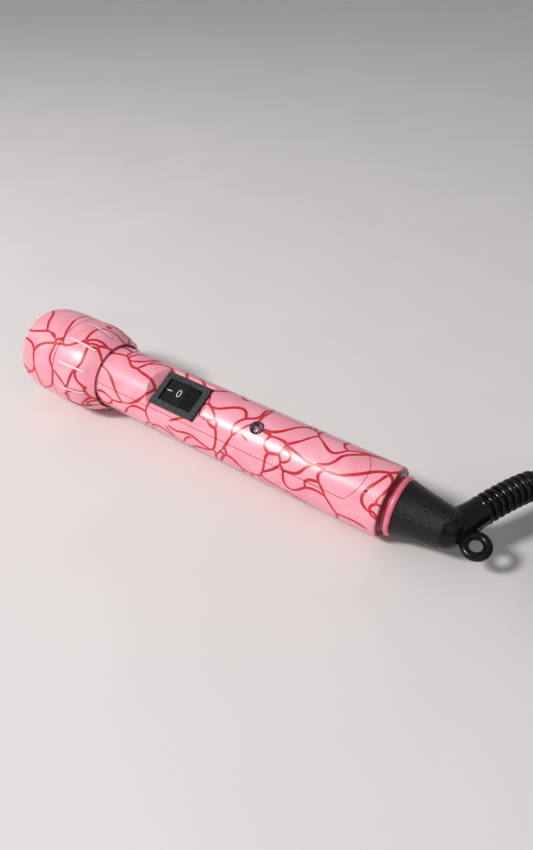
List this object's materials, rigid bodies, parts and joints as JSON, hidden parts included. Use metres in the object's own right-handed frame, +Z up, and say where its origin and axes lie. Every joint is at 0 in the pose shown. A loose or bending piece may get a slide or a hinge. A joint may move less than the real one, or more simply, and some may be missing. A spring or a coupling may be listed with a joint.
{
  "type": "curling wand handle",
  "caption": "Handle of a curling wand with a twist-lock socket for barrels, a rocker switch, an indicator lamp and a swivel cord with its plug.",
  "frame": {"origin": "centre of the handle's footprint on the surface it lies on, cord and plug left out", "axes": "+X along the handle from its head to its tail, +Z up; the switch faces up and towards -Y"},
  "size_m": [0.4441, 0.0924, 0.0461],
  "materials": {
    "pink_shell": "glossy, with thin red crackle lines",
    "pink_plain": "glossy",
    "inner_plastic": "satin, heat resistant",
    "contact_brass": "polished",
    "spring_steel": "drawn",
    "screw_steel": "plated",
    "switch_black": "satin, fine grain",
    "plunger_white": "satin",
    "lamp_metal": "satin",
    "lamp_red": "clear red",
    "board_green": "lacquered",
    "component_black": "moulded",
    "capacitor_blue": "glossy",
    "fuse_metal": "plated",
    "wire_insulation": "soft",
    "satin_black": "fine grained",
    "smooth_black": "smooth",
    "cord_black": "smooth sheath",
    "tie_black": "woven hook and loop strap",
    "plug_black": "moulded"
  },
  "bodies": {
    "tail": {"swivel_cone": "satin_black", "elbow_dome": "smooth_black", "hanging_loop": "smooth_black", "swivel_spindle": "smooth_black", "spindle_clip": "spring_steel", "friction_washer": "component_black", "front_slip_ring": "contact_brass", "rear_slip_ring": "contact_brass", "tail_wires": "wire_insulation", "strain_relief": "smooth_black", "cord_lead": "cord_black", "cord_coil": "cord_black", "cord_tie": "tie_black", "cord_end": "cord_black", "plug_body": "plug_black", "plug_pins": "contact_brass", "plug_fuse_hatch": "plug_black"},
    "handle": {"dome_cap": "pink_shell", "grip_shell": "pink_shell", "top_cover": "pink_shell", "neck_ring": "pink_plain", "socket_housing": "inner_plastic", "wire_plate": "inner_plastic", "brush_holder": "inner_plastic", "swivel_bush": "inner_plastic", "contact_guides": "contact_brass", "switch_terminals": "contact_brass", "contact_springs": "spring_steel", "detent_ball": "spring_steel", "detent_spring": "spring_steel", "contact_brushes": "spring_steel", "rocker_pin": "spring_steel", "socket_screws": "screw_steel", "case_screws": "screw_steel", "board_screws": "screw_steel", "switch_housing": "switch_black", "lamp_bezel": "lamp_metal", "lamp_lens": "lamp_red", "lamp_body": "lamp_red", "control_board": "board_green", "power_triac": "component_black", "control_chip": "component_black", "board_resistors": "component_black", "mains_capacitor": "capacitor_blue", "thermal_fuse": "fuse_metal", "heater_wires": "wire_insulation", "live_wire": "wire_insulation", "switched_wire": "wire_insulation", "neutral_wire": "wire_insulation"},
    "collar": {"lock_collar": "pink_shell", "lock_ring": "spring_steel"},
    "live_contact": {"live_plunger": "contact_brass"},
    "neutral_contact": {"neutral_plunger": "contact_brass"},
    "switch_key": {"rocker": "switch_black", "switch_plunger": "plunger_white"},
    "switch_blade": {"switch_blade": "contact_brass"}
  },
  "joints": [
    {"name": "tail_swivel", "type": "hinge", "parent": "tail", "child": "handle", "pos_m": [0.08225, 0, 0.01592], "axis": [0.9993, 0, -0.0383], "continuous": true},
    {"name": "collar_lock", "type": "hinge", "parent": "handle", "child": "collar", "pos_m": [-0.08863, 0, 0.02247], "axis": [0.9993, 0, -0.0383], "range_deg": [0, 30]},
    {"name": "live_spring", "type": "slide", "parent": "handle", "child": "live_contact", "axis": [0.9993, 0, -0.0383], "range_m": [0, 0.002], "stiffness_N_per_m": 500, "springref_m": -0.001},
    {"name": "neutral_spring", "type": "slide", "parent": "handle", "child": "neutral_contact", "axis": [0.9993, 0, -0.0383], "range_m": [0, 0.002], "stiffness_N_per_m": 500, "springref_m": -0.001},
    {"name": "rocker_tilt", "type": "hinge", "parent": "handle", "child": "switch_key", "pos_m": [-0.02768, -0.00454, 0.02905], "axis": [-0.0174, -0.891, -0.4537], "range_deg": [0, 14]},
    {"name": "blade_tilt", "type": "hinge", "parent": "handle", "child": "switch_blade", "pos_m": [-0.02798, -0.00059, 0.0213], "axis": [0.0174, 0.891, 0.4537], "range_deg": [0, 16]}
  ],
  "couplings": [
    {"joint": "blade_tilt", "follows": "rocker_tilt", "ratio": 1.1429}
  ]
}
